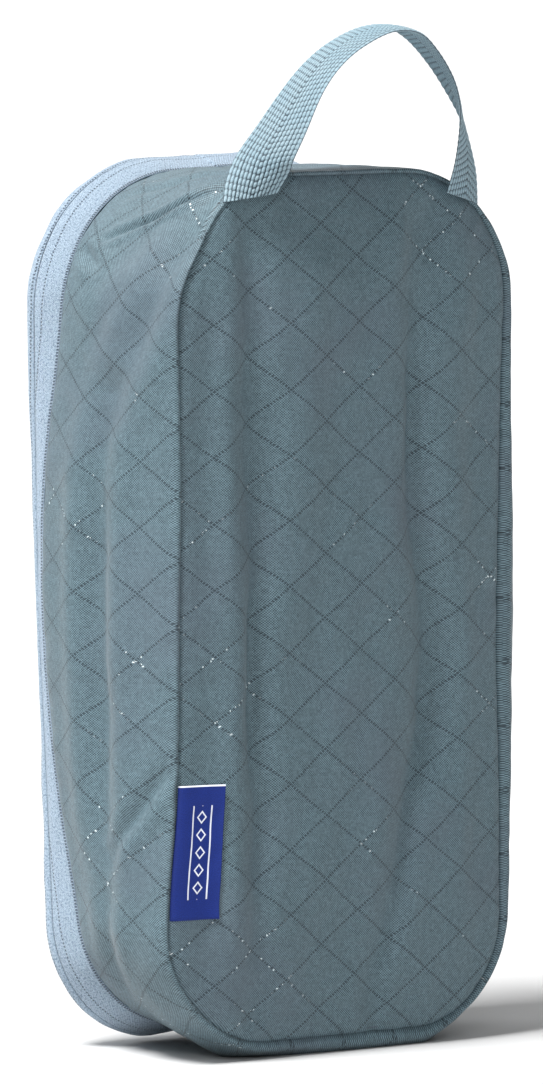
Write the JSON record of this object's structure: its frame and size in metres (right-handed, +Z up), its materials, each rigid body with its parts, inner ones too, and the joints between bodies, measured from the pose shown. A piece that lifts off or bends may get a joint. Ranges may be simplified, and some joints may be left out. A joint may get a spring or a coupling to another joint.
{
  "type": "shoe bag",
  "caption": "Tall soft shoe bag with a zipped drop-down back, a webbing grab handle on the top seam and a small woven side label.",
  "frame": {"origin": "on the gusset's flat underside, on the bag's centre plane, about midway between the front and the rear rim at half height", "axes": "+Z up, the large sewn front panel faces -Y, the zipped back panel faces +Y, +X to the right seen from the front"},
  "size_m": [0.19, 0.1245, 0.4213],
  "materials": {
    "shell_fabric": "fine plain weave with a dashed diamond ripstop grid",
    "zipper_tape": "woven polyester tape",
    "zipper_coil": "nylon monofilament coil",
    "binding": "narrow woven binding",
    "webbing": "coarse woven webbing",
    "hardware": "satin",
    "label": "damask woven"
  },
  "bodies": {
    "bag": {"front_panel": "shell_fabric", "side_gusset": "shell_fabric", "hinge_strip": "shell_fabric", "gusset_join_tape": "binding", "front_seam_binding": "binding", "gusset_rim_binding": "binding", "zipper_tape_body": "zipper_tape", "zipper_coil_body": "zipper_coil", "zipper_stop_left": "hardware", "zipper_stop_right": "hardware", "handle_tail_left": "webbing", "handle_tail_right": "webbing"},
    "lid": {"back_panel": "shell_fabric", "zipper_tape_lid": "zipper_tape", "zipper_coil_lid": "zipper_coil", "lid_seam_binding": "binding"},
    "slider": {"slider_body": "hardware", "slider_bridge": "hardware"},
    "pull_tab": {"slider_pull_tab": "hardware"},
    "handle": {"handle_webbing": "webbing"},
    "label": {"woven_label": "label"}
  },
  "joints": [
    {"name": "lid_open", "type": "hinge", "parent": "bag", "child": "lid", "pos_m": [0, 0.037, 0.0065], "axis": [-1, 0, 0], "range_deg": [0, 86]},
    {"name": "zipper_slide", "type": "slide", "parent": "bag", "child": "slider", "axis": [0, 0.061, 0.9981], "range_m": [0, 0.22]},
    {"name": "pull_tab_swing", "type": "hinge", "parent": "slider", "child": "pull_tab", "pos_m": [0.09005, 0.02881, 0.06912], "axis": [0, -0.9981, 0.061], "range_deg": [0, 165]},
    {"name": "handle_fold", "type": "hinge", "parent": "bag", "child": "handle", "pos_m": [0, -0.0512, 0.3665], "axis": [1, 0, 0], "range_deg": [-30, 85]},
    {"name": "label_flip", "type": "hinge", "parent": "bag", "child": "label", "pos_m": [-0.0875, -0.0508, 0.0605], "axis": [0, 0, -1], "range_deg": [0, 150]}
  ]
}
